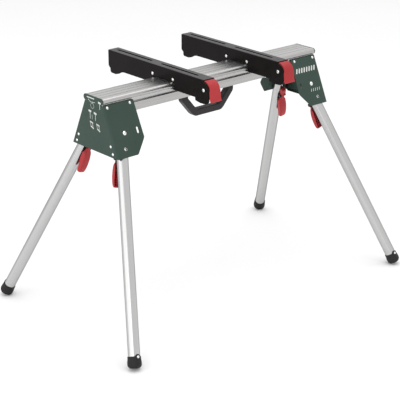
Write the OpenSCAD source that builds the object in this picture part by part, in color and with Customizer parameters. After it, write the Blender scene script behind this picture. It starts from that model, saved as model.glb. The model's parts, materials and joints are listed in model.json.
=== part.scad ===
// Folding work stand for a mitre saw: an aluminium beam on four folding legs, with two clamped
// crossbars that carry the saw. Origin on the floor under the middle of the beam, +X along the
// beam, -Y towards the clamp levers (front), +Z up. Millimetres.

/* [Stand] */
// Length over the two end plates
stand_length = 1000; // [940:10:1100]
// Height of the beam's top face above the floor
beam_top = 816; // [800:1:830]

/* [Beam] */
// Width of the beam over its round edges
beam_width = 106; // [104:1:108]
// Thickness of the beam's upper flange
flange_thick = 20; // [18:1:20]
// Height of the whole beam section
beam_height = 64; // [60:1:68]
// Wall thickness of the extrusion
beam_wall = 3; // [2:0.5:4]

/* [End brackets] */
// Sheet thickness of the green brackets
sheet = 2.5; // [2:0.5:3]
// Half width between the wings' outer faces, measured at the beam's top face
wing_start = 42; // [41:0.5:43]
// Outward run of a wing for each millimetre down
wing_slope = 0.45; // [0.43:0.01:0.47]
// Depth of the bracket's lower edge under the beam's top face
bracket_depth = 190; // [186:1:194]
// Length of a wing along the beam
wing_length = 130; // [128:1:134]
// Outer radius of the sheet's folds
fold_radius = 8; // [7:0.5:9]

/* [Legs] */
// Outer diameter of a leg tube
tube_d = 40; // [38:1:40]
// Wall thickness of a leg tube
tube_wall = 2; // [1.5:0.5:3]
// Tilt of an open leg along the beam, in the plane of its wing
leg_tilt = 15; // [13:0.5:17]
// Distance from a leg's pivot to its lock pin
lock_radius = 54.4; // [54:0.1:55]
// Diameter of a lock pin
lock_pin_d = 8; // [7:0.5:8]
// Diameter of the rubber feet
foot_d = 48; // [46:1:48]
// Length of a rubber foot
foot_length = 40; // [39:1:44]

/* [Crossbars] */
// Distance of the left crossbar's middle from the beam's middle
left_bar_x = -168.9; // [-180:0.1:-150]
// Distance of the right crossbar's middle from the beam's middle
right_bar_x = 179; // [160:0.5:190]
// Width of a crossbar
bar_width = 49; // [48:0.5:50]
// Height of a crossbar's top face above the beam
bar_rise = 42.6; // [41:0.2:44]
// Sheet thickness of a crossbar
bar_sheet = 2.5; // [2:0.5:3]
// Length of a bolt slot from end to end
slot_length = 196; // [180:1:200]
// Width of a bolt slot
slot_width = 9; // [8:0.5:10]

/* [Clamps] */
// Opening angle of a clamp lever
lever_open = 75; // [60:1:75]
// Travel of the push strap while its lever opens
strap_travel = 5; // [4:0.5:5]

/* [Release levers] */
// Angle through which a release lever is squeezed
squeeze = 10; // [8:0.5:10]

/* [Carry handle] */
// Length of the handle along the beam
handle_length = 240; // [236:1:248]
// Depth of the handle's lower edge under the beam's top face
handle_depth = 158; // [150:1:162]
// Thickness of the handle's bar
handle_bar = 25; // [22:1:26]
// Width of the handle's bar across the beam
handle_width = 28; // [24:1:30]

/* [Hidden] */
$fn = 48;
eps = 0.01;
gap = 0.4;

// Colours
green = [0.25, 0.32, 0.29];
black = [0.17, 0.16, 0.16];
rubber = [0.10, 0.10, 0.10];
red = [0.78, 0.22, 0.24];
aluminium = [0.70, 0.70, 0.70];
steel = [0.82, 0.82, 0.82];

// Wing plane: its angle from the vertical, and millimetres along its slope for each one down
wing_angle = atan(wing_slope);
along = 1 / cos(wing_angle);
wing_top = 22 * along;

// Leg pivot, in the wing's plane: distance from the bracket's end, and distance down the slope
pivot_u = 56.5;
pivot_v = 116.2 * along;
// Distance of a leg's middle line from the wing's outer face
leg_inset = sheet + tube_d / 2 + 0.5;
tube_r = tube_d / 2;
bolt_r = 6;
pin_r = lock_pin_d / 2;
running = 0.05;

// Wing rivets near the beam, at this distance from the bracket's end and down the slope
rivet_us = [16.1, 110.9];
rivet_v = 30 * along;
rivet_r = 2.5;
// End plate rivets that hold the leg stops, down the slope
stop_vs = [158.9, 185.4];
stop_w = 20;

// Feet: the edge radius rests on the floor, and gives the length of a leg
foot_edge = 14;
foot_r = foot_d / 2;
drop = cos(leg_tilt) * cos(wing_angle);
pivot_z = beam_top - pivot_v / along - leg_inset * sin(wing_angle);
floor_reach = (pivot_z - foot_edge - (foot_r - foot_edge) * sqrt(1 - drop * drop)) / drop;
foot_end = floor_reach + foot_edge;
tube_end = foot_end - 20;
tube_top = -25;
foot_rivet_y = foot_end - 38;

// Carry handle: its two screws, over the handle's upright ends
handle_screw_xs = [for (side = [-1, 1]) side * (handle_length - handle_bar) / 2];

// Release lever: its fulcrum, down the leg and inwards from the leg's middle line
fulcrum_y = 76;
fulcrum_z = 28;
fulcrum_r = 2.5;
neck_half = 9;
mount_rivet_y = 92;
pin_travel = (fulcrum_y - lock_radius) * tan(squeeze);

// Crossbar: clamp pivot, jaw pivot and front rivet, as y and height above the beam
clamp_y = -203.8;
clamp_z = 6.8;
jaw_y = 64.9;
jaw_z = 8.7;
front_rivet_y = -44.2;
front_rivet_z = 9;
bar_rear = 316;
bar_inner = bar_width / 2 - bar_sheet;
edge_r = 10;
slot_ys = [193.5, -53];
// Clamp lever: the shell that turns under the top plate, and its eccentric
shell_r = bar_rise - bar_sheet - clamp_z - 0.5;
cam_r = 13;
cam_start = 90 - lever_open / 2;
cam_offset = strap_travel / (2 * cos(cam_start));
follower_y = clamp_y + cam_r + cam_offset * cos(cam_start) + 0.3;
strap_z = 28;

// ---------- placing ----------

// Plane of the front left wing: x from the bracket's end, y down the slope, z inwards
module wing_frame() {
    translate([-stand_length / 2, -wing_start, beam_top])
        rotate([-(90 + wing_angle), 0, 0])
            children();
}

// Front left leg: y down the leg from its pivot, z inwards from its middle line
module leg_frame() {
    wing_frame()
        translate([pivot_u, pivot_v, leg_inset])
            rotate([0, 0, leg_tilt])
                children();
}

// Copies what is drawn for the front left corner to another corner
module corner(right, rear) {
    mirror([right ? 1 : 0, 0, 0])
        mirror([0, rear ? 1 : 0, 0])
            children();
}

// Both corners, front and rear, of one end
module both_corners(right) {
    for (rear = [false, true])
        corner(right, rear) children();
}

// Crossbar: x from its middle, z from the beam's top face
module bar_frame(middle_x) {
    translate([middle_x, 0, beam_top]) children();
}

// Extrudes a (y, z) outline along x, centred
module along_x(width) {
    rotate([90, 0, 90])
        linear_extrude(height = width, center = true)
            children();
}

// Domed head that stands on z = 0 and rises towards +z
module dome(radius, height) {
    ball = (radius * radius + height * height) / (2 * height);
    intersection() {
        translate([0, 0, height - ball]) sphere(r = ball);
        cylinder(r = radius + 1, h = height + 1);
    }
}

// Rivet along z: domed head on z = 0 rising to -z, shank running to +z
module rivet(radius, length, head_r, head_h) {
    union() {
        translate([0, 0, -eps]) cylinder(r = radius, h = length + eps);
        mirror([0, 0, 1]) dome(head_r, head_h);
    }
}

// ---------- beam ----------

// Section of the beam as (y, height under the top face)
module beam_section() {
    half = beam_width / 2 - edge_r;
    lower = beam_height - 36;
    difference() {
        union() {
            translate([-half, -flange_thick]) square([2 * half, flange_thick]);
            for (side = [-1, 1])
                translate([side * half, -flange_thick / 2]) circle(r = flange_thick / 2);
            translate([-47.5, -28]) square([95, 10]);
            translate([-40, -38]) square([80, 12]);
            translate([-49, -beam_height]) square([98, lower]);
        }
        // Cavities between the walls and two inner ribs
        translate([-49 + beam_wall, -beam_height + beam_wall])
            square([98 - 2 * beam_wall, lower - 2 * beam_wall]);
        for (y = [-37, -13, 13])
            translate([y, -33]) square([y == -13 ? 24 : 22, 33 - beam_wall - 1]);
        // Fine grooves along the top face
        for (y = [-29, -7, 15, 37])
            translate([y - 1, -0.8]) square([2, 2]);
        // Groove along each round edge's underside
        for (side = [-1, 1])
            translate([side * 44 - 1, -flange_thick - 1]) square([2, 2]);
    }
}

module beam() {
    color(aluminium)
        difference() {
            translate([0, 0, beam_top])
                along_x(stand_length - 2 * sheet) beam_section();
            for (x = handle_screw_xs)
                translate([x, 0, beam_top - beam_height - 1]) cylinder(r = 2.6, h = 6);
            for (right = [false, true])
                both_corners(right)
                    wing_frame()
                        for (u = rivet_us)
                            translate([u, rivet_v, 0]) cylinder(r = rivet_r + 0.1, h = 22);
        }
}

// ---------- end brackets ----------

// Outline of a wing: (distance from the end, distance down the slope)
module wing_outline() {
    polygon([
        [0, wing_top], [wing_length - 3, wing_top], [wing_length, 142 * along],
        [wing_length - 9, 153 * along], [90, (bracket_depth - 3) * along],
        [80, (bracket_depth + 4) * along], [0, (bracket_depth + 4) * along]
    ]);
}

// Flat of a wing, its folded edge, and the thinner strip that joins the fold to the end plate
module wing_sheet() {
    strip = 5;
    intersection() {
        union() {
            translate([fold_radius, 0, 0]) cube([wing_length, 230, sheet]);
            translate([0, 0, fold_radius]) cube([sheet - 0.3, 230, strip]);
            intersection() {
                translate([fold_radius, 0, fold_radius])
                    rotate([-90, 0, 0])
                        difference() {
                            cylinder(r = fold_radius, h = 230);
                            translate([0, 0, -1]) cylinder(r = fold_radius - sheet, h = 232);
                        }
                cube([fold_radius, 230, fold_radius]);
            }
        }
        translate([0, 0, -1]) linear_extrude(height = fold_radius + strip + 2) wing_outline();
    }
}

// Outline of an end plate, as (y, height under the beam's top face)
module end_outline() {
    half = beam_width / 2 - edge_r;
    inset = (fold_radius + 3) * along;
    top_y = wing_start + 22 * wing_slope - inset;
    low_y = wing_start + bracket_depth * wing_slope - inset;
    union() {
        translate([-half, -flange_thick]) square([2 * half, flange_thick + 0.5]);
        for (side = [-1, 1])
            translate([side * half, -flange_thick / 2]) circle(r = flange_thick / 2 + 0.5);
        polygon([
            [-top_y, -flange_thick + 4], [top_y, -flange_thick + 4], [top_y, -22],
            [low_y, -bracket_depth], [-low_y, -bracket_depth], [-top_y, -22]
        ]);
    }
}

module end_bracket(right) {
    lip = 12;
    lip_half = 88;
    color(green)
        difference() {
            union() {
                mirror([right ? 1 : 0, 0, 0]) {
                    translate([-stand_length / 2 + sheet / 2, 0, beam_top])
                        along_x(sheet) end_outline();
                    // Stiffening lip along the lower edge
                    translate([-stand_length / 2, 0, beam_top - bracket_depth])
                        linear_extrude(height = sheet)
                            polygon([
                                [0, -lip_half], [lip, -lip_half + lip],
                                [lip, lip_half - lip], [0, lip_half]
                            ]);
                }
                intersection() {
                    both_corners(right) wing_frame() wing_sheet();
                    translate([-stand_length, -200, beam_top - bracket_depth])
                        cube([2 * stand_length, 400, bracket_depth]);
                }
            }
            both_corners(right) wing_frame() {
                for (u = rivet_us)
                    translate([u, rivet_v, -1]) cylinder(r = rivet_r + 0.1, h = 6);
                translate([pivot_u, pivot_v, -1]) cylinder(r = bolt_r + 0.1, h = 6);
                // Hole for the open leg's lock pin, and slot for the folded leg's
                translate([pivot_u, pivot_v, -1]) {
                    rotate([0, 0, leg_tilt])
                        translate([0, lock_radius, 0]) cylinder(r = pin_r + 0.6, h = 6);
                    translate([lock_radius, 0, 0]) {
                        translate([-pin_r - 0.3, -7, 0]) cube([2 * pin_r + 0.6, 14, 6]);
                        for (end = [-7, 7])
                            translate([0, end, 0]) cylinder(r = pin_r + 0.3, h = 6);
                    }
                }
                for (v = stop_vs)
                    translate([-1, v, stop_w])
                        rotate([0, 90, 0]) cylinder(r = rivet_r + 0.1, h = 6);
            }
        }
}

// Rivets of one end: four through the wings into the beam, four through the end plate
module bracket_rivets(right) {
    color(steel)
        both_corners(right) wing_frame() {
            for (u = rivet_us)
                translate([u, rivet_v, 0]) rivet(rivet_r, 18, 5, 2.2);
            for (v = stop_vs)
                translate([0, v, stop_w]) rotate([0, 90, 0]) rivet(rivet_r, 12, 5, 2.2);
        }
}

// Leg pivots of one end: domed bolts from outside, nuts and washers inside
module pivot_bolts(right) {
    color(steel)
        both_corners(right) wing_frame()
            translate([pivot_u, pivot_v, 0]) rivet(bolt_r, leg_inset + tube_r + 14, 7.5, 3.5);
}

module pivot_nuts(right) {
    start = leg_inset + tube_r + 0.3;
    color(steel)
        both_corners(right) wing_frame()
            translate([pivot_u, pivot_v, start])
                difference() {
                    union() {
                        cylinder(r = 11, h = 2);
                        translate([0, 0, 2 - eps]) cylinder(r = 10.5, h = 9, $fn = 6);
                    }
                    translate([0, 0, -1]) cylinder(r = bolt_r + 0.02, h = 14);
                }
}

// Saddles between the end plate and the open legs
module leg_stops(right) {
    color(rubber)
        both_corners(right)
            difference() {
                wing_frame() translate([sheet + 0.05, 150, 9]) cube([26, 42, 24]);
                leg_frame()
                    rotate([-90, 0, 0]) cylinder(r = tube_r + gap, h = 140);
                wing_frame()
                    for (v = stop_vs)
                        translate([0, v, stop_w])
                            rotate([0, 90, 0]) cylinder(r = rivet_r + 0.1, h = 13);
            }
}

// ---------- carry handle ----------

module handle_outline(grow) {
    half = handle_length / 2 + grow;
    low = -handle_depth - grow;
    slope = 50 + 0.6 * grow;
    polygon([
        [-half, -beam_height - 31 - 0.4 * grow], [-half, -beam_height],
        [half, -beam_height], [half, -beam_height - 31 - 0.4 * grow],
        [half - slope, low + 6], [half - slope - 8, low],
        [-half + slope + 8, low], [-half + slope, low + 6]
    ]);
}

module carry_handle() {
    color(black)
        translate([0, 0, beam_top])
            difference() {
                rotate([90, 0, 0])
                    linear_extrude(height = handle_width, center = true)
                        difference() {
                            handle_outline(0);
                            intersection() {
                                handle_outline(-handle_bar);
                                translate([-200, -200])
                                    square([400, 200 - beam_height + 0.5]);
                            }
                            // Recess between the two feet that the beam's underside closes
                            translate([-handle_length / 2 + handle_bar, -beam_height - 1])
                                square([handle_length - 2 * handle_bar, 2]);
                        }
                for (x = handle_screw_xs)
                    translate([x, 0, -beam_height - 40])
                        cylinder(r = 2.6, h = 50);
                for (x = handle_screw_xs)
                    translate([x, 0, -beam_height - 60]) cylinder(r = 5.2, h = 48);
            }
}

// Screws that run up through the handle's feet into the beam's lower wall
module handle_screws() {
    color(steel)
        for (x = handle_screw_xs)
            translate([x, 0, beam_top - beam_height - 12])
                union() {
                    translate([0, 0, -eps]) cylinder(r = 2.5, h = 17);
                    mirror([0, 0, 1]) dome(4.8, 3);
                }
}

// ---------- legs ----------

module leg_tube() {
    color(aluminium)
        leg_frame()
            difference() {
                translate([0, tube_top, 0])
                    rotate([-90, 0, 0]) cylinder(r = tube_r, h = tube_end - tube_top, $fn = 64);
                translate([0, tube_top - 1, 0])
                    rotate([-90, 0, 0])
                        cylinder(r = tube_r - tube_wall, h = tube_end - tube_top + 2, $fn = 64);
                translate([0, 0, -30]) cylinder(r = bolt_r + running, h = 60);
                translate([0, lock_radius, -30]) cylinder(r = pin_r + running, h = 60);
                // Holes for the lever mount's rivets and the foot's rivet
                translate([0, mount_rivet_y, 10]) cylinder(r = rivet_r + 0.1, h = 20);
                translate([0, foot_rivet_y, -30]) cylinder(r = rivet_r + 0.1, h = 20);
            }
}

// Rubber foot: a cap with a round lower edge and a tongue up the tube's outer side
module foot() {
    bore_r = tube_r + 0.05;
    collar = foot_end - foot_length;
    color(rubber)
        leg_frame()
            difference() {
                union() {
                    translate([0, collar, 0])
                        rotate([-90, 0, 0])
                            rotate_extrude() {
                                square([foot_r, foot_length - foot_edge]);
                                square([foot_r - foot_edge, foot_length]);
                                translate([foot_r - foot_edge, foot_length - foot_edge])
                                    intersection() {
                                        circle(r = foot_edge);
                                        square([foot_edge, foot_edge]);
                                    }
                            }
                    intersection() {
                        translate([0, collar - 20, 0])
                            rotate([-90, 0, 0]) cylinder(r = foot_r - 0.2, h = 26);
                        union() {
                            translate([-9, foot_rivet_y, -foot_r - 1]) cube([18, 8, 16]);
                            translate([0, foot_rivet_y, -foot_r - 1]) cylinder(r = 9, h = 16);
                        }
                    }
                }
                translate([0, collar - 40, 0])
                    rotate([-90, 0, 0]) cylinder(r = bore_r, h = tube_end - collar + 40.1);
                translate([0, foot_rivet_y, -30]) cylinder(r = rivet_r + 0.1, h = 20);
            }
}

// Fixed rivets of a leg: one through the foot's tongue, one through the lever mount's tail
module leg_rivets() {
    color(steel)
        leg_frame() {
            translate([0, foot_rivet_y, -foot_r]) rivet(rivet_r, 7, 4.5, 2);
            translate([0, mount_rivet_y, tube_r + 1.5])
                mirror([0, 0, 1]) rivet(rivet_r, 5, 3.6, 1);
        }
}

// Saddle with two ears that carries the release lever
module lever_mount() {
    ear = 3;
    outer = neck_half + 0.5 + ear;
    color(black)
        leg_frame()
            difference() {
                union() {
                    translate([-outer, 68, 12]) cube([2 * outer, 28, 9.5]);
                    for (side = [-1, 1])
                        translate([side * (outer - ear / 2), 0, 0]) {
                            translate([-ear / 2, 69, 20]) cube([ear, 14, fulcrum_z - 20]);
                            translate([0, fulcrum_y, fulcrum_z])
                                rotate([0, 90, 0]) cylinder(r = 7, h = ear, center = true);
                        }
                }
                rotate([-90, 0, 0]) cylinder(r = tube_r + 0.05, h = 140, $fn = 64);
                translate([0, fulcrum_y, fulcrum_z])
                    rotate([0, 90, 0]) cylinder(r = fulcrum_r + 0.02, h = 60, center = true);
                translate([0, mount_rivet_y, 10]) cylinder(r = rivet_r + 0.1, h = 20);
            }
}

module fulcrum_pin() {
    reach = neck_half + 5;
    color(steel)
        leg_frame()
            translate([0, fulcrum_y, fulcrum_z])
                rotate([0, 90, 0]) {
                    cylinder(r = fulcrum_r, h = 2 * reach, center = true);
                    for (side = [-1, 1])
                        translate([0, 0, side * (reach - 0.5)])
                            cylinder(r = fulcrum_r + 1, h = 1, center = true);
                }
}

// Side outline of a release lever: (down the leg, inwards), grown inwards by the wall
module lever_side(wall) {
    polygon([
        [47 + wall, 24.5 - 20 * wall], [47 + wall, 28.5 - wall], [62, 28.5 - wall],
        [70, 34.5 - wall], [86, 35 - wall], [96, 37 - wall], [116, 44.5 - wall],
        [138, 49.5 - wall], [158, 51 - wall], [167, 49.5 - wall], [174 - wall, 44 - wall],
        [174 - wall, 38 - 20 * wall], [150, 34.5 - 20 * wall], [120, 29.5 - 20 * wall],
        [95, 26 - 20 * wall], [84, 25.5 - 20 * wall]
    ]);
}

// Outline of a release lever from above: (across, down the leg)
module lever_plan(wall) {
    neck = neck_half - wall;
    wide = 16.5 - wall;
    polygon([
        for (side = [-1, 1])
            for (p = side < 0 ? lever_edge(neck, wide, wall) : reversed(lever_edge(neck, wide, wall)))
                [side * p[0], p[1]]
    ]);
}

function lever_edge(neck, wide, wall) = [
    [neck - 4, 46 + wall], [neck, 50 + wall], [neck, 90 + wall], [wide - 2, 98 + wall],
    [wide - 0.5, 112], [wide, 132], [wide - 0.8, 158], [wide - 2, 168 - wall],
    [wide - 6, 174 - wall]
];

function reversed(list) = [for (i = [len(list) - 1:-1:0]) list[i]];

module release_lever() {
    wall = 2.5;
    color(red)
        leg_frame()
            difference() {
                union() {
                    difference() {
                        intersection() {
                            along_x(60) lever_side(0);
                            translate([0, 0, 10]) linear_extrude(height = 50) lever_plan(0);
                        }
                        intersection() {
                            along_x(60)
                                intersection() {
                                    lever_side(wall);
                                    translate([88, 0]) square([100, 60]);
                                }
                            linear_extrude(height = 60) lever_plan(wall);
                        }
                    }
                    // Ribs inside the hollow grip
                    intersection() {
                        along_x(60) lever_side(0);
                        union() {
                            for (y = [104, 120, 136, 152, 165])
                                translate([-16, y - 0.9, 20]) cube([32, 1.8, 30]);
                            translate([-0.9, 100, 20]) cube([1.8, 73, 30]);
                        }
                        translate([0, 0, 10]) linear_extrude(height = 50) lever_plan(1);
                    }
                    // Hub on the fulcrum
                    translate([0, fulcrum_y, fulcrum_z])
                        rotate([0, 90, 0])
                            cylinder(r = 5, h = 2 * neck_half, center = true);
                }
                translate([0, fulcrum_y, fulcrum_z])
                    rotate([0, 90, 0])
                        cylinder(r = fulcrum_r + running, h = 60, center = true);
                // Eye that the lock pin passes through
                translate([-pin_r - 0.6, lock_radius - pin_r - 1.2, 0])
                    cube([2 * pin_r + 1.2, 2 * pin_r + 2.4, 40]);
            }
}

// Lock pin with a spring collar inside the tube and a head behind the lever's eye
module lock_pin() {
    tip = leg_inset - sheet - gap;
    color(steel)
        leg_frame()
            translate([0, lock_radius, 0])
                union() {
                    translate([0, 0, -tip]) cylinder(r = pin_r, h = tip + 30.5);
                    translate([0, 0, -5]) cylinder(r = 7, h = 2.5);
                    translate([0, 0, 30]) cylinder(r = 7, h = 3);
                }
}

// Spring between the collar and the tube's inner wall, drawn at its compressed length
module lock_spring() {
    wire = 0.6;
    coil_r = 5.6;
    turns = 4;
    steps = 12;
    sides = 6;
    start = -2.5 + pin_travel + 0.3 + wire;
    pitch = (tube_r - tube_wall - 1.6 - wire - start) / turns;
    rings = turns * steps;
    points = [
        for (i = [0:rings])
            for (j = [0:sides - 1])
                let (a = 360 * i / steps, r = coil_r + wire * cos(360 * j / sides))
                    [r * cos(a), r * sin(a), pitch * i / steps + wire * sin(360 * j / sides)]
    ];
    walls = [
        for (i = [0:rings - 1])
            for (j = [0:sides - 1])
                let (k = (j + 1) % sides)
                    [i * sides + j, (i + 1) * sides + j, (i + 1) * sides + k, i * sides + k]
    ];
    ends = [
        [for (j = [0:sides - 1]) j],
        [for (j = [sides - 1:-1:0]) rings * sides + j]
    ];
    color(steel)
        leg_frame()
            translate([0, lock_radius, start])
                polyhedron(points = points, faces = concat(walls, ends));
}

// ---------- crossbars ----------

// Side outline of a crossbar as (y, height above the beam)
module bar_outline() {
    nose_r = 28.5;
    nose_y = clamp_y - nose_r + 0.1;
    difference() {
        polygon([
            [nose_y, bar_rise], [bar_rear, bar_rise], [bar_rear, -15], [312, -20],
            [306, -24], [305, -36], [300, -40], [275, -41], [256, -35.5], [240, -27],
            [226, -24.5], [57, -24.5], [57, 0], [-48.5, 0], [-48.5, -26], [-161, -26],
            [-163, -37], [-188, -41], [-214, -40], [-227, -35], [nose_y, -27]
        ]);
        // Round nose in front of the top plate
        difference() {
            translate([nose_y - 1, clamp_z + 1]) square([clamp_y - nose_y + 1, bar_rise]);
            translate([clamp_y, clamp_z]) circle(r = nose_r);
        }
        // Seat on the beam's flange and round its front edge
        translate([-48.5, -1]) square([105.5, 1 + gap]);
        translate([-beam_width / 2 + edge_r, -flange_thick / 2])
            circle(r = flange_thick / 2 + gap);
    }
}

// Folded channel section as (x, height above the beam)
module bar_section() {
    half = bar_width / 2;
    bend = 3.5;
    difference() {
        union() {
            translate([-half, -60]) square([bar_width, 60 + bar_rise - bend]);
            translate([-half + bend, 0]) square([bar_width - 2 * bend, bar_rise]);
            for (side = [-1, 1])
                translate([side * (half - bend), bar_rise - bend]) circle(r = bend);
        }
        translate([-bar_inner, -61]) square([2 * bar_inner, 61 + bar_rise - bar_sheet]);
    }
}

module crossbar(middle_x) {
    length = 560;
    color(black)
        bar_frame(middle_x)
            difference() {
                intersection() {
                    union() {
                        translate([0, bar_rear, 0])
                            rotate([90, 0, 0]) linear_extrude(height = length) bar_section();
                        // Closed rear end
                        translate([-bar_inner - 1, bar_rear - bar_sheet, -15])
                            cube([2 * bar_inner + 2, bar_sheet, bar_rise + 14]);
                    }
                    along_x(bar_width + 2) bar_outline();
                }
                for (y = slot_ys) {
                    run = slot_length / 2 - slot_width / 2;
                    translate([-slot_width / 2, y - run, 20]) cube([slot_width, 2 * run, 40]);
                    for (end = [-run, run])
                        translate([0, y + end, 20]) cylinder(r = slot_width / 2, h = 40);
                }
                for (hole = [[clamp_y, clamp_z, 4], [jaw_y, jaw_z, 3.5],
                             [front_rivet_y, front_rivet_z, 3.5]])
                    translate([0, hole[0], hole[1]])
                        rotate([0, 90, 0])
                            cylinder(r = hole[2] + 0.02, h = 60, center = true);
            }
}

// Pin across a crossbar at (y, z), with a domed head at both ends
module cross_pin(y, z, radius, head_r) {
    translate([-bar_width / 2, y, z])
        rotate([0, 90, 0])
            union() {
                rivet(radius, bar_width, head_r, 2);
                translate([0, 0, bar_width - eps]) dome(head_r, 2);
            }
}

module crossbar_rivets(middle_x) {
    color(steel)
        bar_frame(middle_x) {
            cross_pin(jaw_y, jaw_z, 3.5, 5.5);
            cross_pin(front_rivet_y, front_rivet_z, 3.5, 5.5);
        }
}

module clamp_pin(middle_x) {
    color(steel) bar_frame(middle_x) cross_pin(clamp_y, clamp_z, 4, 6);
}

// Plastic pad that slides on the beam and guides the push strap
module slide_pad(middle_x) {
    side = bar_inner - 0.1;
    color(rubber)
        bar_frame(middle_x)
            difference() {
                union() {
                    translate([-side, -50, gap]) cube([2 * side, 98, 7]);
                    translate([-side, -50, gap]) cube([2 * side, 13, 15]);
                    for (x = [9.4, 17.1])
                        translate([x, -20, 5]) cube([3.5, 20, 29]);
                    translate([10, -20, 5]) cube([10, 20, 16.5]);
                }
                translate([0, front_rivet_y, front_rivet_z])
                    rotate([0, 90, 0]) cylinder(r = 3.52, h = 60, center = true);
            }
}

// Ring sector around the clamp pivot, from one angle to another past the vertical
module sector(outer, inner, from, to, width) {
    reach = outer / cos((to - from) / 4) + 2;
    middle = (from + to) / 2;
    along_x(width)
        translate([clamp_y, clamp_z])
            difference() {
                intersection() {
                    circle(r = outer, $fn = 96);
                    polygon([
                        [0, 0],
                        for (a = [from, (from + middle) / 2, middle, (to + middle) / 2, to])
                            [-reach * sin(a), reach * cos(a)]
                    ]);
                }
                if (inner > 0) circle(r = inner, $fn = 96);
            }
}

// Clamp lever: curved shell, wide grip plate, two webs and the eccentric
module clamp_lever(middle_x) {
    shell = 3;
    web_x = bar_inner - 2.25;
    grip_y = clamp_y - shell_r;
    color(red)
        bar_frame(middle_x)
            difference() {
                union() {
                    sector(shell_r, shell_r - shell, 1, 100, 2 * bar_inner - 1);
                    for (side = [-1, 1])
                        translate([side * web_x, 0, 0]) {
                            sector(shell_r - 1, 0, 30, 104, 2.5);
                            translate([0, clamp_y, clamp_z])
                                rotate([0, 90, 0]) cylinder(r = 9, h = 2.5, center = true);
                        }
                    along_x(bar_width)
                        polygon([
                            [grip_y - 1.5, 8], [grip_y + shell - 2.4, 8],
                            [grip_y + shell - 2.4, 0],
                            [grip_y - 0.5, -26], [grip_y - 3.8, -31], [grip_y - 7, -31],
                            [grip_y - 7.5, -28], [grip_y - 4.5, -20], [grip_y - 3.2, 0]
                        ]);
                    translate([0, clamp_y, clamp_z])
                        rotate([-cam_start, 0, 0])
                            translate([0, cam_offset, 0])
                                rotate([0, 90, 0])
                                    cylinder(r = cam_r, h = 2 * web_x, center = true);
                }
                translate([0, clamp_y, clamp_z])
                    rotate([0, 90, 0]) cylinder(r = 4 + running, h = 60, center = true);
            }
}

// Strap from the eccentric's follower to the rear jaw
module push_strap(middle_x) {
    low = 4;
    high = 13;
    rise = strap_z - 5;
    rear = jaw_y - 2.9 - 4 - gap;
    color(steel)
        bar_frame(middle_x)
            union() {
                translate([15, 0, 0])
                    along_x(4)
                        polygon([
                            [follower_y, low], [-150, low], [-118, rise], [rear, rise],
                            [rear, rise + 9], [-122, rise + 9], [-154, high],
                            [follower_y, high]
                        ]);
                translate([-17, follower_y, clamp_z - 9]) cube([34, 4, 24]);
            }
}

// Hook that grips the flange's rear edge, with an arm that the strap pushes
module rear_jaw(middle_x) {
    color(steel)
        bar_frame(middle_x)
            difference() {
                union() {
                    translate([0, jaw_y, jaw_z])
                        rotate([0, 90, 0]) cylinder(r = 8, h = 36, center = true);
                    along_x(36)
                        polygon([
                            [jaw_y + 7, jaw_z], [jaw_y - 7.5, jaw_z], [54.5, 0], [54.5, -14],
                            [48.6, -21.3], [48.6, -27], [60, -27], [72, -10]
                        ]);
                    translate([15, 0, 0]) {
                        along_x(6)
                            polygon([
                                [jaw_y - 6, jaw_z], [jaw_y + 6, jaw_z],
                                [jaw_y + 1, strap_z], [jaw_y - 5, strap_z]
                            ]);
                        translate([0, jaw_y - 2.9, strap_z])
                            rotate([0, 90, 0]) cylinder(r = 4, h = 6, center = true);
                    }
                }
                translate([0, jaw_y, jaw_z])
                    rotate([0, 90, 0]) cylinder(r = 3.5 + running, h = 60, center = true);
            }
}

// ---------- nodes ----------

beam();
end_bracket(false);  // left_end_bracket
end_bracket(true);  // right_end_bracket
bracket_rivets(false);  // left_bracket_rivets
bracket_rivets(true);  // right_bracket_rivets
pivot_bolts(false);  // left_pivot_bolts
pivot_bolts(true);  // right_pivot_bolts
pivot_nuts(false);  // left_pivot_nuts
pivot_nuts(true);  // right_pivot_nuts
leg_stops(false);  // left_leg_stops
leg_stops(true);  // right_leg_stops
carry_handle();
handle_screws();
corner(false, false) leg_tube();  // front_left_leg_tube
corner(false, false) foot();  // front_left_foot
corner(false, false) leg_rivets();  // front_left_leg_rivets
corner(false, false) lever_mount();  // front_left_lever_mount
corner(false, false) fulcrum_pin();  // front_left_fulcrum_pin
corner(false, false) release_lever();  // front_left_release_lever
corner(false, false) lock_pin();  // front_left_lock_pin
corner(false, false) lock_spring();  // front_left_lock_spring
corner(false, true) leg_tube();  // rear_left_leg_tube
corner(false, true) foot();  // rear_left_foot
corner(false, true) leg_rivets();  // rear_left_leg_rivets
corner(false, true) lever_mount();  // rear_left_lever_mount
corner(false, true) fulcrum_pin();  // rear_left_fulcrum_pin
corner(false, true) release_lever();  // rear_left_release_lever
corner(false, true) lock_pin();  // rear_left_lock_pin
corner(false, true) lock_spring();  // rear_left_lock_spring
corner(true, false) leg_tube();  // front_right_leg_tube
corner(true, false) foot();  // front_right_foot
corner(true, false) leg_rivets();  // front_right_leg_rivets
corner(true, false) lever_mount();  // front_right_lever_mount
corner(true, false) fulcrum_pin();  // front_right_fulcrum_pin
corner(true, false) release_lever();  // front_right_release_lever
corner(true, false) lock_pin();  // front_right_lock_pin
corner(true, false) lock_spring();  // front_right_lock_spring
corner(true, true) leg_tube();  // rear_right_leg_tube
corner(true, true) foot();  // rear_right_foot
corner(true, true) leg_rivets();  // rear_right_leg_rivets
corner(true, true) lever_mount();  // rear_right_lever_mount
corner(true, true) fulcrum_pin();  // rear_right_fulcrum_pin
corner(true, true) release_lever();  // rear_right_release_lever
corner(true, true) lock_pin();  // rear_right_lock_pin
corner(true, true) lock_spring();  // rear_right_lock_spring
crossbar(left_bar_x);  // left_crossbar
crossbar_rivets(left_bar_x);  // left_crossbar_rivets
slide_pad(left_bar_x);  // left_slide_pad
clamp_lever(left_bar_x);  // left_clamp_lever
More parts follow.
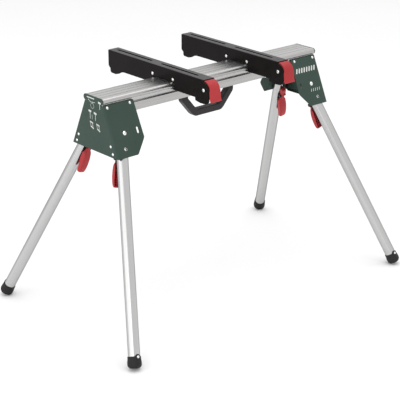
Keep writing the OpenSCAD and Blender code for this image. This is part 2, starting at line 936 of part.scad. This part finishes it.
clamp_pin(left_bar_x);  // left_clamp_pin
push_strap(left_bar_x);  // left_push_strap
rear_jaw(left_bar_x);  // left_rear_jaw
crossbar(right_bar_x);  // right_crossbar
crossbar_rivets(right_bar_x);  // right_crossbar_rivets
slide_pad(right_bar_x);  // right_slide_pad
clamp_lever(right_bar_x);  // right_clamp_lever
clamp_pin(right_bar_x);  // right_clamp_pin
push_strap(right_bar_x);  // right_push_strap
rear_jaw(right_bar_x);  // right_rear_jaw
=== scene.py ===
"""Looks of the folding saw stand: surfaces, moulded pieces, printed marks, camera and studio."""

import json
import math

import bmesh
import bpy
from mathutils import Matrix, Vector


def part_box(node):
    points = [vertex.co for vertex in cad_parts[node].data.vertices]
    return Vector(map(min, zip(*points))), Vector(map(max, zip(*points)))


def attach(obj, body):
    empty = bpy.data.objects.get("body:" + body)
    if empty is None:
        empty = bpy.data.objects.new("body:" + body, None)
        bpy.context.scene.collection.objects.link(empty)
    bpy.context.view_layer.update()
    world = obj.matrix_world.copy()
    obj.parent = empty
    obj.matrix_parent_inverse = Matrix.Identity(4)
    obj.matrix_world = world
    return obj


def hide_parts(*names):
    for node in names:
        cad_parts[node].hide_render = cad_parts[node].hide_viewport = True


MM = 0.001
CORNERS = ("front_left", "rear_left", "front_right", "rear_right")
SIDES = ("left", "right")

# The same sizes as the CAD part, in millimetres
BEAM_TOP = 816
HALF_LENGTH = 500
WING_START = 42
WING_SLOPE = 0.45
TUBE_R = 20
FOOT_R = 24
FOOT_END = 776
NECK_HALF = 9
LOCK_RADIUS = 54.4
FULCRUM_Y = 76
FULCRUM_Z = 28
LEG_INSET = 23
CLAMP_Y = -203.8
CLAMP_Z = 6.8

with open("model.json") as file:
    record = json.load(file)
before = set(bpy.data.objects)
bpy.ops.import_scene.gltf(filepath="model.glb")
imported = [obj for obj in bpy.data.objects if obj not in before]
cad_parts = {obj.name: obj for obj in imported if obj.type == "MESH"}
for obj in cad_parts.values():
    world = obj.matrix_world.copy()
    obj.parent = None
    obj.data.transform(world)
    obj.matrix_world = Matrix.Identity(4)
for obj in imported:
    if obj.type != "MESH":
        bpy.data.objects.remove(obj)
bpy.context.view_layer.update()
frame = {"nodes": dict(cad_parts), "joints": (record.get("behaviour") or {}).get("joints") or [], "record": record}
joints = {joint["name"]: joint for joint in frame["joints"]}


# ---------- materials ----------

def add(tree, kind, inputs, **settings):
    """Adds a node. An input's value is a number, a tuple, or the socket that feeds it."""
    made = tree.nodes.new(kind)
    for name, value in settings.items():
        setattr(made, name, value)
    for name, value in inputs.items():
        if isinstance(value, bpy.types.NodeSocket):
            tree.links.new(value, made.inputs[name])
        else:
            made.inputs[name].default_value = value
    return made


def object_place(tree):
    return add(tree, "ShaderNodeTexCoord", {}).outputs["Object"]


def stretched(tree, place, axis, keep):
    """Shrinks the place along an axis to the share keep, so that textures run along that axis."""
    along = add(tree, "ShaderNodeVectorMath", {0: place, 1: axis}, operation="DOT_PRODUCT")
    less = add(tree, "ShaderNodeMath", {0: along.outputs["Value"], 1: keep - 1}, operation="MULTIPLY")
    shift = add(
        tree, "ShaderNodeVectorMath", {0: axis, "Scale": less.outputs[0]}, operation="SCALE"
    )
    moved = add(tree, "ShaderNodeVectorMath", {0: place, 1: shift.outputs[0]}, operation="ADD")
    return moved.outputs[0]


def noise(tree, place, scale, detail=4.0):
    made = add(
        tree, "ShaderNodeTexNoise", {"Vector": place, "Scale": scale, "Detail": detail}
    )
    return made.outputs[0]


def spread(tree, value, low, high, start=0.3, end=0.7):
    """Maps a noise value to the range from low to high."""
    made = add(
        tree,
        "ShaderNodeMapRange",
        {"Value": value, "From Min": start, "From Max": end, "To Min": low, "To Max": high},
    )
    return made.outputs[0]


def tint(tree, factor, first, second):
    made = add(tree, "ShaderNodeMix", {0: factor}, data_type="RGBA")
    for index, colour in ((6, first), (7, second)):
        if isinstance(colour, bpy.types.NodeSocket):
            tree.links.new(colour, made.inputs[index])
        else:
            made.inputs[index].default_value = (*colour, 1.0)
    return made.outputs[2]


def bump(tree, height, distance, strength=1.0, after=None):
    inputs = {"Height": height, "Distance": distance, "Strength": strength}
    if after is not None:
        inputs["Normal"] = after
    return add(tree, "ShaderNodeBump", inputs).outputs[0]


def start_material(name, **constants):
    """A material with one Principled shader. The constants go on the shader's own sockets."""
    material = bpy.data.materials.new(name)
    material.use_nodes = True
    tree = material.node_tree
    shader = tree.nodes["Principled BSDF"]
    for socket, value in constants.items():
        shader.inputs[socket.replace("_", " ")].default_value = value
    return material, tree, shader


def moulded(name, dark, light, rough, grain, depth, gloss=0.5, upward_sheen=None):
    """Plastic, rubber or powder coat: soft clouds of tone, with a fine pebbled grain.

    The last colour is a painted sheen: faces that look up are painted lighter, as where top light falls."""
    clouds = 9.0
    material, tree, shader = start_material(name, Metallic=0.0, Specular_IOR_Level=gloss)
    place = object_place(tree)
    cloud = noise(tree, place, clouds)
    pebble = noise(tree, place, grain, 2.0)
    soft = tint(tree, spread(tree, cloud, 0.0, 1.0), dark, light)
    speck = tint(tree, spread(tree, pebble, 0.0, 0.35), soft, dark)
    # Painted sheen: faces that look up are blended towards a lighter colour, standing in for top light.
    if upward_sheen:
        facing = add(tree, "ShaderNodeTexCoord", {}).outputs["Normal"]
        height = add(tree, "ShaderNodeSeparateXYZ", {0: facing}).outputs["Z"]
        speck = tint(tree, spread(tree, height, 0.0, 1.0, 0.6, 0.95), speck, upward_sheen)
    tree.links.new(speck, shader.inputs["Base Color"])
    patch = noise(tree, place, clouds * 3.7)
    tree.links.new(spread(tree, patch, rough[0], rough[1]), shader.inputs["Roughness"])
    tree.links.new(bump(tree, pebble, depth), shader.inputs["Normal"])
    return material


def drawn_metal(name, axis, dark, light, rough, lines, depth, edge=(1.0, 1.0, 1.0, 1.0)):
    """Extruded or drawn metal: fine lines and faint bands along one axis, and the tint at its edges."""
    material, tree, shader = start_material(name, Metallic=1.0, Specular_Tint=edge)
    place = object_place(tree)
    along = stretched(tree, place, axis, 0.006)
    fine = noise(tree, along, lines, 3.0)
    band = noise(tree, along, lines / 9, 2.0)
    cloud = noise(tree, place, 14.0)
    toned = tint(tree, spread(tree, band, 0.0, 1.0), dark, light)
    lined = tint(tree, spread(tree, fine, 0.0, 0.4), toned, dark)
    tree.links.new(lined, shader.inputs["Base Color"])
    gloss = spread(tree, fine, rough[0], rough[1])
    haze = spread(tree, cloud, -0.03, 0.03)
    mixed = add(tree, "ShaderNodeMath", {0: gloss, 1: haze}, operation="ADD")
    tree.links.new(mixed.outputs[0], shader.inputs["Roughness"])
    tree.links.new(bump(tree, fine, depth), shader.inputs["Normal"])
    return material


def plated(name, dark, light, rough):
    """Zinc-plated steel: a faint mottle with tiny scratches."""
    material, tree, shader = start_material(name, Metallic=1.0)
    place = object_place(tree)
    mottle = noise(tree, place, 160.0)
    fleck = noise(tree, place, 900.0, 2.0)
    toned = tint(tree, spread(tree, mottle, 0.0, 1.0), dark, light)
    tree.links.new(toned, shader.inputs["Base Color"])
    tree.links.new(spread(tree, fleck, rough[0], rough[1]), shader.inputs["Roughness"])
    tree.links.new(bump(tree, fleck, 0.00002), shader.inputs["Normal"])
    return material


def leg_matrix(corner):
    """Leg frame: x across the leg, y down it from its pivot, z inwards from its middle line."""
    pivot = Vector(joints[corner + "_leg_fold"]["pos_m"])
    reach = Vector(joints[corner + "_lever_squeeze"]["pos_m"]) - pivot
    inward = Vector(joints[corner + "_pin_slide"]["axis"]).normalized()
    down = (reach - inward * reach.dot(inward)).normalized()
    across = down.cross(inward)
    turned = Matrix((across, down, inward)).transposed().to_4x4()
    return Matrix.Translation(pivot) @ turned


leg_frames = {corner: leg_matrix(corner) for corner in CORNERS}

green_coat = moulded(
    "green_coat", (0.034, 0.058, 0.047), (0.040, 0.066, 0.054), (0.42, 0.52), 900.0, 0.00006, 0.15
)
# Painted sheen: the black coat's faces that look up are painted a lighter grey, where top light would fall.
black_coat = moulded(
    "black_coat",
    (0.006, 0.0045, 0.0045),
    (0.009, 0.007, 0.007),
    (0.30, 0.40),
    800.0,
    0.00005,
    0.08,
    upward_sheen=(0.055, 0.052, 0.052),
)
black_mould = moulded(
    "black_mould", (0.012, 0.010, 0.010), (0.018, 0.015, 0.015), (0.40, 0.50), 650.0, 0.0001, 0.35
)
black_rubber = moulded(
    "black_rubber", (0.008, 0.007, 0.007), (0.013, 0.011, 0.011), (0.52, 0.66), 700.0, 0.00015, 0.3
)
red_mould = moulded(
    "red_mould", (0.33, 0.019, 0.022), (0.41, 0.027, 0.031), (0.36, 0.48), 750.0, 0.00008, 0.3
)
white_print = moulded(
    "white_print", (0.55, 0.56, 0.54), (0.66, 0.67, 0.65), (0.45, 0.60), 500.0, 0.00001
)
bright_steel = plated("bright_steel", (0.74, 0.74, 0.73), (0.90, 0.90, 0.89), (0.18, 0.30))
zinc_steel = plated("zinc_steel", (0.50, 0.50, 0.48), (0.64, 0.64, 0.61), (0.28, 0.42))
# Painted shade: steel darkened to near black, so the pivot nuts and fulcrum pins read as in shadow.
shaded_steel = plated("shaded_steel", (0.07, 0.07, 0.07), (0.12, 0.12, 0.12), (0.40, 0.55))
beam_metal = drawn_metal(
    "beam_metal",
    (1.0, 0.0, 0.0),
    (0.42, 0.415, 0.41),
    (0.54, 0.535, 0.53),
    (0.24, 0.36),
    520.0,
    0.00003,
)
tube_metals = {
    corner: drawn_metal(
        corner + "_tube_metal",
        tuple(leg_frames[corner].col[1][:3]),
        (0.50, 0.50, 0.50),
        (0.58, 0.58, 0.575),
        (0.17, 0.24),
        420.0,
        0.00001,
        edge=(0.3, 0.3, 0.3, 1.0),
    )
    for corner in CORNERS
}

FINISHES = {
    "aluminium": beam_metal,
    "green_sheet": green_coat,
    "black_sheet": black_coat,
    "black_plastic": black_mould,
    "rubber": black_rubber,
    "red_plastic": red_mould,
    "zinc_steel": zinc_steel,
    "bright_steel": bright_steel,
}


def paint(piece, material):
    piece.data.materials.clear()
    piece.data.materials.append(material)


for part in frame["record"]["subparts"]:
    paint(frame["nodes"][part["node"]], FINISHES[part["material_slot"]])
# The fulcrum pins and the pivot nuts take the steel that is darkened as painted shade.
for corner in CORNERS:
    paint(frame["nodes"][corner + "_leg_tube"], tube_metals[corner])
    paint(frame["nodes"][corner + "_fulcrum_pin"], shaded_steel)
for side in SIDES:
    paint(frame["nodes"][side + "_pivot_nuts"], shaded_steel)


# ---------- mesh helpers ----------

def build(name, shape, body, slot, place=None, round_off=0.0, replaces=()):
    """Makes a piece from a shape in millimetres, in the frame called place, riding on a body."""
    place = place or Matrix.Identity(4)
    mesh = bpy.data.meshes.new(name)
    mesh.from_pydata([place @ (Vector(point) * MM) for point in shape.points], [], shape.faces)
    work = bmesh.new()
    work.from_mesh(mesh)
    bmesh.ops.remove_doubles(work, verts=work.verts, dist=1e-6)
    bmesh.ops.recalc_face_normals(work, faces=work.faces)
    work.to_mesh(mesh)
    work.free()
    mesh.shade_smooth()
    piece = bpy.data.objects.new(name, mesh)
    bpy.context.scene.collection.objects.link(piece)
    if round_off:
        bevel = piece.modifiers.new("round_off", "BEVEL")
        bevel.width = round_off * MM
        bevel.segments = 3
        bevel.limit_method = "ANGLE"
        bevel.angle_limit = math.radians(35)
    weighted = piece.modifiers.new("even_shading", "WEIGHTED_NORMAL")
    weighted.keep_sharp = True
    paint(piece, FINISHES[slot])
    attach(piece, body)
    if replaces:
        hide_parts(*replaces)
    return piece


class Shape:
    """Gathers closed loops and strips of faces for one piece."""

    def __init__(self):
        self.points = []
        self.faces = []

    def ring(self, points):
        start = len(self.points)
        self.points.extend(points)
        return list(range(start, len(self.points)))

    def bridge(self, first, second):
        count = len(first)
        for i in range(count):
            j = (i + 1) % count
            self.faces.append((first[i], first[j], second[j], second[i]))

    def cap(self, ring):
        self.faces.append(tuple(ring))

    def loft(self, sections):
        """Joins sections of equal point count, and closes both ends."""
        rings = [self.ring(section) for section in sections]
        for first, second in zip(rings, rings[1:]):
            self.bridge(first, second)
        self.cap(rings[0])
        self.cap(rings[-1])

    def prism(self, outline, low, high, place):
        """Extrudes an outline: place(u, v, w) turns it into a point."""
        self.loft([[place(u, v, w) for u, v in outline] for w in (low, high)])


def arc(centre_u, centre_v, radius, first, last, steps):
    """Points on an arc, angles in degrees from +u towards +v."""
    points = []
    for i in range(steps + 1):
        turn = math.radians(first + (last - first) * i / steps)
        points.append((centre_u + radius * math.cos(turn), centre_v + radius * math.sin(turn)))
    return points


def between(table, position):
    """Reads a row of values at a position from a table sorted by its first column."""
    for low, high in zip(table, table[1:]):
        if position <= high[0]:
            share = max(0.0, (position - low[0]) / (high[0] - low[0]))
            return [a + (b - a) * share for a, b in zip(low[1:], high[1:])]
    return list(table[-1][1:])


# ---------- feet ----------

def rubber_foot():
    """Rubber cap turned round the tube, whose upper edge rises to a tongue on the outer side."""
    shape = Shape()
    turns = 72
    length = 40
    tongue_rise = 7
    tongue_half_turn = 40
    sole_edge = 14
    bore = TUBE_R + 0.1
    rounding = arc(FOOT_R - sole_edge, 0, sole_edge, 0, 90, 8)
    sole = [(FOOT_END - sole_edge + v, u) for u, v in rounding]

    def column(angle):
        """Distance down the leg, and radius, from the bore over the upper edge to the sole."""
        turn = math.degrees(angle)
        rise = 0.5 + 0.5 * math.cos(math.pi * min(1.0, abs(turn) / tongue_half_turn))
        edge = FOOT_END - length - tongue_rise * rise
        skin = FOOT_R - 1.5 * (1 - rise)
        return [
            (edge + 12, bore),
            (edge + 0.9, bore),
            (edge, bore + 0.7),
            (edge + 0.1, skin - 0.8),
            (edge + 0.9, skin - 0.1),
            (edge + 4, skin),
            (FOOT_END - 30, skin),
            (FOOT_END - 26, FOOT_R - 0.6 * (1 - rise)),
            (FOOT_END - 21, FOOT_R),
        ] + sole

    rings = []
    for i in range(turns):
        angle = 2 * math.pi * i / turns - math.pi
        strip = [(r * math.sin(angle), y, -r * math.cos(angle)) for y, r in column(angle)]
        rings.append(shape.ring(strip))
    for this, other in zip(rings, rings[1:] + rings[:1]):
        for k in range(len(this) - 1):
            shape.faces.append((this[k], this[k + 1], other[k + 1], other[k]))
    shape.cap([ring[-1] for ring in rings])
    shape.cap([ring[0] for ring in rings])
    return shape


# ---------- release levers ----------

# Distance down the leg, outer height, inner height, half width, depth of the hollow
LEVER_STATIONS = (
    (61, 28.6, 24.8, 8.6, 0),
    (64, 30.0, 25.0, 9.0, 0),
    (68, 33.2, 25.2, 9.0, 0),
    (73, 34.9, 25.4, 9.0, 0),
    (84, 35.1, 25.6, 9.0, 0),
    (89, 35.6, 25.8, 9.2, 0),
    (93, 36.4, 26.0, 11.4, 0),
    (96.5, 37.4, 26.2, 14.2, 0),
    (99, 38.2, 26.4, 15.0, 0),
    (100, 38.6, 22.8, 15.2, 12.7),
    (107, 41.3, 23.4, 15.6, 15),
    (116, 44.5, 24.8, 16.0, 17),
    (126, 47.1, 27.2, 15.9, 16.9),
    (138, 49.8, 30.6, 15.6, 15.8),
    (149, 51.2, 34.0, 15.2, 13.6),
    (156, 51.9, 35.8, 14.9, 12.3),
    (163, 51.9, 37.2, 14.4, 10.1),
    (167.5, 51.4, 38.2, 13.9, 7.8),
    (169.5, 50.9, 38.6, 13.5, 6.9),
    (170.5, 50.6, 38.8, 13.2, 0),
    (172.6, 49.0, 39.3, 11.9, 0),
    (173.9, 46.4, 40.0, 9.6, 0),
)


def lever_section(y, top, low, half, hollow):
    """Section across a release lever: crowned back, two walls, and the hollow towards the tube."""
    corner = min(5.0, (top - low) * 0.42)
    crown = 1.3
    wall = 2.4
    back = []
    for u, v in arc(-half + corner, top - corner, corner, 180, 90, 4):
        back.append((u, v))
    for u in (-0.4, 0.0, 0.4):
        back.append((u * half, top))
    for u, v in arc(half - corner, top - corner, corner, 90, 0, 4):
        back.append((u, v))
    outer = [(-half, low)] + back + [(half, low)]
    outer = [(u, v - crown * (u / half) ** 2 * (1 if v > top - corner else 0)) for u, v in outer]
    inner_half = half - wall
    roof = min(low + hollow, top - 2.6)
    curve = 2.0 if hollow else 0.0
    inner = [
        (inner_half, low),
        (inner_half, roof - curve),
        (inner_half - curve, roof),
        (0.0, roof),
        (-inner_half + curve, roof),
        (-inner_half, roof - curve),
        (-inner_half, low),
    ]
    return [(u, y, v) for u, v in outer + inner]


def rib_foot(y):
    """Height of the ribs' lower edge, clear of the tube when the lever is squeezed."""
    return 28.2 + 0.19 * (y - 100)


def scaled(loop, share_u, share_v):
    """Shrinks a loop about the lock pin's middle."""
    return [(u * share_u, LOCK_RADIUS + (v - LOCK_RADIUS) * share_v) for u, v in loop]


def release_lever():
    shape = Shape()
    shape.loft([lever_section(*station) for station in LEVER_STATIONS])
    # Cross ribs and a middle rib in the hollow
    rib_half = 0.8
    for y in range(104, 161, 8):
        top, low, half, _ = between(LEVER_STATIONS, y)
        inside = half - 1.2
        foot = max(low + 1.5, rib_foot(y))
        head = top - 1.8
        shape.prism(
            [(-inside, foot), (inside, foot), (inside - 3, head), (3 - inside, head)],
            y - rib_half,
            y + rib_half,
            lambda u, v, w: (u, w, v),
        )
    ridge = [(y, between(LEVER_STATIONS, y)) for y in (99, 116, 138, 156, 168)]
    feet = [(y, max(row[1] + 2.5, rib_foot(y) + 1)) for y, row in ridge]
    heads = [(y, row[0] - 1.5) for y, row in reversed(ridge)]
    shape.prism(feet + heads, -rib_half, rib_half, lambda u, v, w: (w, u, v))
    # Hood over the lock pin's head, open towards the tube
    outside = [(-5, 43.2), (5, 43.2), (8, 44.4), (NECK_HALF, 47.5), (NECK_HALF, 64)]
    outside = outside + [(-u, v) for u, v in reversed(outside[2:])]
    inside = scaled(outside, 0.86, 0.88)
    crown = scaled(outside, 0.9, 0.93)
    rim = 20.9
    levels = ((inside, 34.6), (inside, rim), (outside, rim), (outside, 35.2), (crown, 36.2))
    shape.loft([[(u, v, w) for u, v in loop] for loop, w in levels])
    # Hub on the fulcrum pin
    hub = arc(FULCRUM_Y, FULCRUM_Z, 5, 0, 345, 23)
    shape.prism(hub, -NECK_HALF, NECK_HALF, lambda u, v, w: (w, u, v))
    return shape


for corner in CORNERS:
    build(
        corner + "_rubber_foot",
        rubber_foot(),
        corner + "_leg",
        "rubber",
        place=leg_frames[corner],
        replaces=[corner + "_foot"],
    )
    build(
        corner + "_moulded_lever",
        release_lever(),
        corner + "_lever",
        "red_plastic",
        place=leg_frames[corner],
        round_off=0.7,
        replaces=[corner + "_release_lever"],
    )


# ---------- clamp levers ----------

def clamp_track():
    """Middle line of the band: y, z, its outward direction, half thickness and half width."""
    radius = 31.3
    half_thick = 1.5
    half_wide = 21.5
    track = []
    for degrees in range(2, 93, 5):
        turn = math.radians(degrees)
        flare = 2.7 * max(0.0, min(1.0, (degrees - 80) / 8))
        out_y = -math.sin(turn)
        out_z = math.cos(turn)
        track.append((radius * out_y, radius * out_z, out_y, out_z, half_thick, half_wide + flare))
    # The grip below the band: y, z and half thickness
    grip = (
        (-31.5, -4, 1.7),
        (-31.9, -8, 1.7),
        (-32.2, -12, 1.8),
        (-32.5, -16, 1.8),
        (-32.9, -20, 1.9),
        (-33.5, -24, 2.0),
        (-34.3, -28, 2.0),
        (-35.4, -31.5, 2.0),
        (-37.0, -34.5, 1.8),
        (-38.2, -36.2, 1.3),
    )
    for index, (y, z, half) in enumerate(grip):
        last = grip[max(0, index - 1)]
        following = grip[min(len(grip) - 1, index + 1)]
        run = Vector((following[0] - last[0], following[1] - last[1])).normalized()
        notch = 0.35 if index % 2 else 0.0
        track.append((y, z, run.y, -run.x, half, 24.4 - notch))
    return track


def clamp_lever(middle):
    """Clamp lever about its pin, across the middle of its crossbar."""
    shape = Shape()

    def side_place(u, v, w):
        return (middle + w, CLAMP_Y + u, BEAM_TOP + CLAMP_Z + v)

    sections = []
    for y, z, out_y, out_z, half, wide in clamp_track():
        loop = [(-1, -1), (-1, 0.35), (-0.965, 0.85), (-0.9, 1), (-0.5, 1.08), (0, 1.12)]
        loop = loop + [(-u, v) for u, v in reversed(loop[:-1])]
        sections.append(
            [side_place(y + out_y * v * half, z + out_z * v * half, u * wide) for u, v in loop]
        )
    shape.loft(sections)
    # Two webs, each with a boss on the pin
    web_middle = 19.75
    web_half = 1.2
    web = [(0, 0)] + arc(0, 0, 31, 120, 192, 10)
    boss = arc(0, 0, 9, 0, 345, 23)
    for centre in (-web_middle, web_middle):
        shape.prism(web, centre - web_half, centre + web_half, side_place)
        shape.prism(boss, centre - web_half, centre + web_half, side_place)
    # Eccentric that pushes the strap
    cam_turn = math.radians(-52.5)
    throw = 2.5 / math.cos(cam_turn)
    cam = arc(throw * math.cos(cam_turn), throw * math.sin(cam_turn), 13, 0, 350, 35)
    shape.prism(cam, -19.7, 19.7, side_place)
    return shape


for side in SIDES:
    low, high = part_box(side + "_crossbar")
    build(
        side + "_clamp_grip",
        clamp_lever((low.x + high.x) / 2 / MM),
        side + "_clamp",
        "red_plastic",
        round_off=0.5,
        replaces=[side + "_clamp_lever"],
    )


# ---------- carry handle ----------

def rounded_path(corners, radius, steps):
    """Points along straight runs joined by curves."""
    path = []
    for index, corner in enumerate(corners):
        here = Vector(corner)
        if index in (0, len(corners) - 1):
            path.append(here)
            continue
        before = Vector(corners[index - 1]) - here
        after = Vector(corners[index + 1]) - here
        half_angle = before.angle(after) / 2
        cut = min(radius / math.tan(half_angle), before.length * 0.48, after.length * 0.48)
        start = here + before.normalized() * cut
        end = here + after.normalized() * cut
        for i in range(steps + 1):
            share = i / steps
            path.append(start * (1 - share) ** 2 + here * 2 * share * (1 - share) + end * share**2)
    return path


def handle_sections(path, half_thick, half_deep):
    """Rounded rectangular sections, square to a path in the plane y = 0."""
    corner = 3.5
    sections = []
    for index, here in enumerate(path):
        run = (path[min(index + 1, len(path) - 1)] - path[max(index - 1, 0)]).normalized()
        side = Vector((-run.y, run.x))
        loop = []
        for sign_u, sign_v, first in ((1, 1, 0), (-1, 1, 90), (-1, -1, 180), (1, -1, 270)):
            centre_u = sign_u * (half_thick - corner)
            centre_v = sign_v * (half_deep - corner)
            loop.extend(arc(centre_u, centre_v, corner, first, first + 90, 4))
        sections.append(
            [(here.x + side.x * u, v, BEAM_TOP + here.y + side.y * u) for u, v in loop]
        )
    return sections


def carry_handle():
    shape = Shape()
    half = [(107.5, -64.2), (107.5, -90), (65, -139.5), (57, -145.5)]
    spine = [(-x, z) for x, z in half] + [(x, z) for x, z in reversed(half)]
    path = rounded_path(spine, radius=9, steps=5)
    shape.loft(handle_sections(path, half_thick=12.5, half_deep=14))
    # Grip ribs across the inner side of the sloping arms
    ribs = 9
    for side in (-1, 1):
        for i in range(ribs):
            share = 0.2 + 0.62 * i / (ribs - 1)
            middle = Vector((side * (95 - 35 * share), BEAM_TOP - 85 - 42 * share))
            run = Vector((-side * 0.64, -0.768))
            out = Vector((-side * 0.768, 0.64))
            loop = []
            for along, rise in ((-1.0, -1.5), (-0.6, 0.5), (0.6, 0.5), (1.0, -1.5)):
                point = middle + run * along + out * rise
                loop.append((point.x, point.y))
            shape.prism(loop, -9.5, 9.5, lambda u, v, w: (u, w, v))
    return shape


def eyelet():
    """Bright ring round a lock pin's hole, z outwards from the wing."""
    shape = Shape()
    # Radius and height above the wing
    profile = (
        (4.75, -1.5), (4.75, 0.7), (5.1, 1.0), (5.7, 0.8), (6.1, 0.02), (5.3, -0.02), (5.3, -1.5)
    )
    rings = []
    for radius, rise in profile:
        loop = arc(0, 0, radius, 0, 350, 35)
        rings.append(shape.ring([(u, v + LOCK_RADIUS, -LEG_INSET - rise) for u, v in loop]))
    for first, second in zip(rings, rings[1:] + rings[:1]):
        shape.bridge(first, second)
    return shape


for corner in CORNERS:
    build(corner + "_lock_eyelet", eyelet(), "stand", "bright_steel", place=leg_frames[corner])

build("carry_grip", carry_handle(), "stand", "black_plastic", replaces=["carry_handle"])


# ---------- printed marks ----------

def stroke(shape, place, start, end, width):
    """A printed line with square ends."""
    first = Vector(start)
    last = Vector(end)
    run = (last - first).normalized() * width / 2
    side = Vector((-run.y, run.x))
    corners = (first - run - side, last + run - side, last + run + side, first - run + side)
    shape.prism([(c.x, c.y) for c in corners], -0.05, 0.12, place)


def stand_icon(shape, place, u, v):
    """A generic stand: a bar, two legs and a bar on the ground."""
    stroke(shape, place, (u - 7, v + 8), (u + 6, v + 5), 4.2)
    stroke(shape, place, (u - 6, v + 4), (u - 4, v - 6), 1.9)
    stroke(shape, place, (u + 5, v + 3), (u + 7, v - 7), 1.9)
    stroke(shape, place, (u - 3, v - 8), (u + 9, v - 13), 4.2)


def post_icon(shape, place, u, v, height):
    """A generic block on a post."""
    stroke(shape, place, (u - 4, v), (u + 4, v - 1), 6.5)
    stroke(shape, place, (u + 1, v - 5), (u + 1, v - height), 2.0)


def dial_icon(shape, place, u, v, radius):
    """A generic dial under an open arrow head."""
    rim = arc(u, v, radius, 0, 360, 12)
    for start, end in zip(rim, rim[1:]):
        stroke(shape, place, start, end, 1.1)
    stroke(shape, place, (u - 22, v + 19), (u - 7, v + 12), 1.7)
    stroke(shape, place, (u - 7, v + 12), (u + 13, v + 14), 1.7)


def end_marks():
    """A plain bar and generic icons on the left end plate."""
    shape = Shape()

    def place(u, v, w):
        return (-HALF_LENGTH - w, -u, BEAM_TOP + v)

    stroke(shape, place, (-33, -8), (4, -8), 3.4)
    dial_icon(shape, place, -6, -34, 9)
    post_icon(shape, place, 34, -15, 22)
    post_icon(shape, place, -20, -54, 26)
    post_icon(shape, place, 9, -57, 24)
    stroke(shape, place, (-9, -66), (-8, -80), 1.2)
    stand_icon(shape, place, -12, -99)
    stand_icon(shape, place, 23, -101)
    return shape


def wing_marks():
    """A row of slanted bars, and a row of small ticks, on the right front wing."""
    shape = Shape()
    lean = math.atan(WING_SLOPE)

    def place(u, v, w):
        return (
            HALF_LENGTH - u,
            -WING_START - v * math.sin(lean) - w * math.cos(lean),
            BEAM_TOP - v * math.cos(lean) + w * math.sin(lean),
        )

    first = 22
    for i in range(8):
        u = first + 13 * i
        stroke(shape, place, (u - 2.5, 65), (u + 2.5, 77), 6)
    for i in range(5):
        u = first + 10.5 * i
        stroke(shape, place, (u, 147), (u + 3, 156), 2)
    return shape


for name, marks in (("end_marks", end_marks()), ("wing_marks", wing_marks())):
    printed = build(name, marks, "stand", "green_sheet")
    paint(printed, white_print)


# ---------- camera ----------

def look(position, forward, roll=0.0):
    """Matrix of a camera or lamp, level before it rolls by an angle in degrees."""
    back = -forward.normalized()
    level = Vector((0, 0, 1)).cross(back).normalized()
    lift = back.cross(level)
    turn = math.radians(roll)
    right = level * math.cos(turn) + lift * math.sin(turn)
    up = back.cross(right)
    turned = Matrix((right, up, back)).transposed().to_4x4()
    return Matrix.Translation(position) @ turned


camera_data = bpy.data.cameras.new("camera")
camera_data.lens = 115.34
camera_data.sensor_width = 36
camera_data.shift_x = -0.0088
camera_data.shift_y = 0.0114
camera_data.clip_end = 100
camera = bpy.data.objects.new("camera", camera_data)
camera.matrix_world = look(
    Vector((-2.9207, -3.2885, 2.0601)), Vector((0.61528, 0.69523, -0.37159)), 0.21
)
bpy.context.scene.collection.objects.link(camera)
bpy.context.scene.camera = camera


# ---------- studio ----------

def floor():
    """A wide pale floor."""
    size = 40
    mesh = bpy.data.meshes.new("floor")
    corners = [(-size, -size, 0), (size, -size, 0), (size, size, 0), (-size, size, 0)]
    mesh.from_pydata(corners, [], [(0, 1, 2, 3)])
    made = bpy.data.objects.new("floor", mesh)
    bpy.context.scene.collection.objects.link(made)
    material, tree, shader = start_material("floor_paper", Roughness=0.9, Specular_IOR_Level=0.1)
    cloud = noise(tree, object_place(tree), 0.6)
    toned = tint(tree, spread(tree, cloud, 0.0, 1.0), (0.84, 0.84, 0.84), (0.86, 0.86, 0.86))
    tree.links.new(toned, shader.inputs["Base Color"])
    paint(made, material)


def softbox(name, position, target, width, height, power):
    """A rectangular lamp, sized in metres, that faces its target."""
    data = bpy.data.lights.new(name, "AREA")
    data.shape = "RECTANGLE"
    data.size = width
    data.size_y = height
    data.energy = power
    lamp = bpy.data.objects.new(name, data)
    lamp.matrix_world = look(Vector(position), Vector(target) - Vector(position))
    bpy.context.scene.collection.objects.link(lamp)


floor()
softbox("left_panel", (-4.6, -0.6, 1.8), (0, 0, 0.6), 7.0, 3.2, 60)
softbox("front_panel", (-4.6, -2.9, 1.5), (0, 0, 0.6), 1.8, 2.5, 15)
softbox("top_panel", (0.3, -0.3, 5.0), (0, 0, 0), 5.0, 5.0, 95)

world = bpy.data.worlds.new("studio")
world.use_nodes = True
backdrop = world.node_tree.nodes["Background"]
backdrop.inputs["Color"].default_value = (1.0, 1.0, 1.0, 1.0)
backdrop.inputs["Strength"].default_value = 1.0
bpy.context.scene.world = world
bpy.context.scene.view_settings.view_transform = "Standard"
